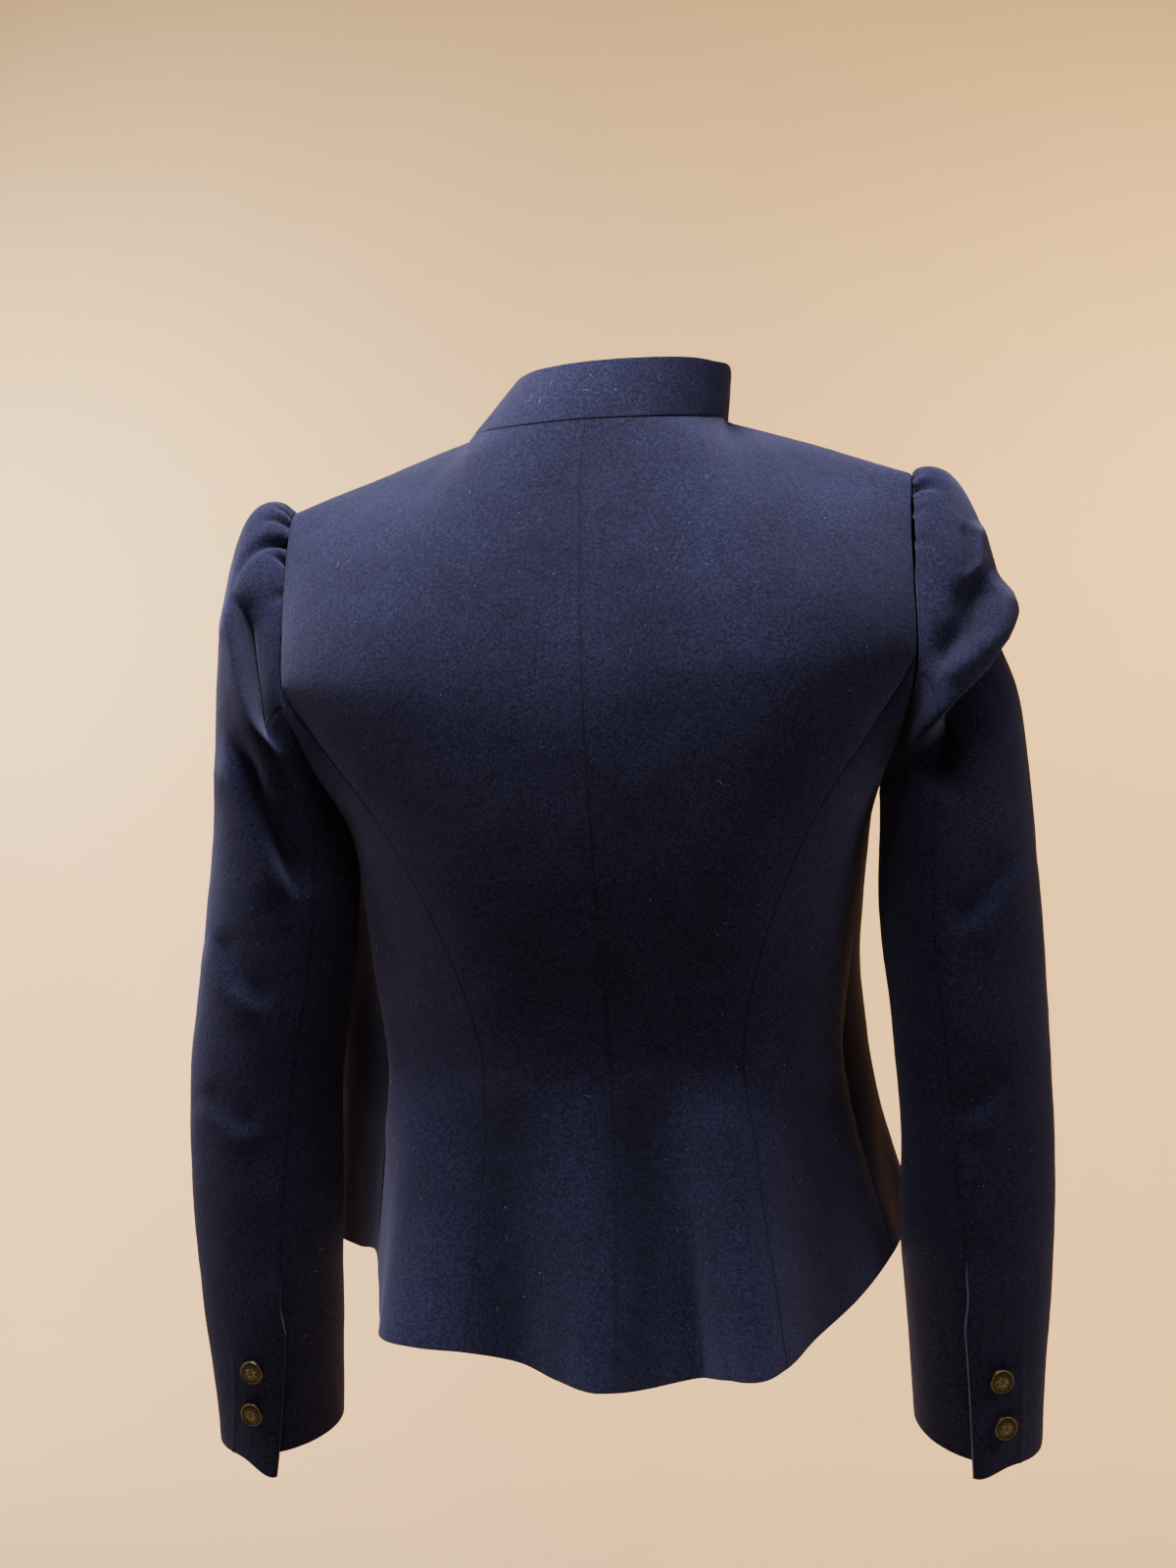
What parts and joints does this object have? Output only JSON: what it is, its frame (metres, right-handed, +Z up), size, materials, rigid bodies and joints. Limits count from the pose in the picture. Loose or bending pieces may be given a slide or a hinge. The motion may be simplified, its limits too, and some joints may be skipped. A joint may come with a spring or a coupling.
{
  "type": "wool jacket",
  "caption": "Fitted hip-length jacket of felted wool with a stand collar, gathered sleeve heads, a flared peplum and cuff vents with metal buttons, hollow in its worn form.",
  "frame": {"origin": "centre of the neck opening at the level of the nape seam, where the wearer's neck and shoulders carry the jacket", "axes": "+Z up, -Y the front, +Y the back, +X the wearer's left"},
  "size_m": [0.5503, 0.3169, 0.6961],
  "materials": {
    "wool": "felted, matt, with a fine nap",
    "button": "antique, darkened in the hollows"
  },
  "bodies": {
    "root": {"back_left": "wool", "back_right": "wool", "side_back_left": "wool", "side_back_right": "wool", "front_left": "wool", "front_right": "wool", "upper_sleeve_left": "wool", "upper_sleeve_right": "wool", "under_sleeve_left": "wool", "under_sleeve_right": "wool", "collar": "wool", "cuff_button_left_1": "button", "cuff_button_left_2": "button", "cuff_button_right_1": "button", "cuff_button_right_2": "button", "front_button_1": "button", "front_button_2": "button", "front_button_3": "button", "front_button_4": "button", "front_button_5": "button"}
  },
  "joints": []
}
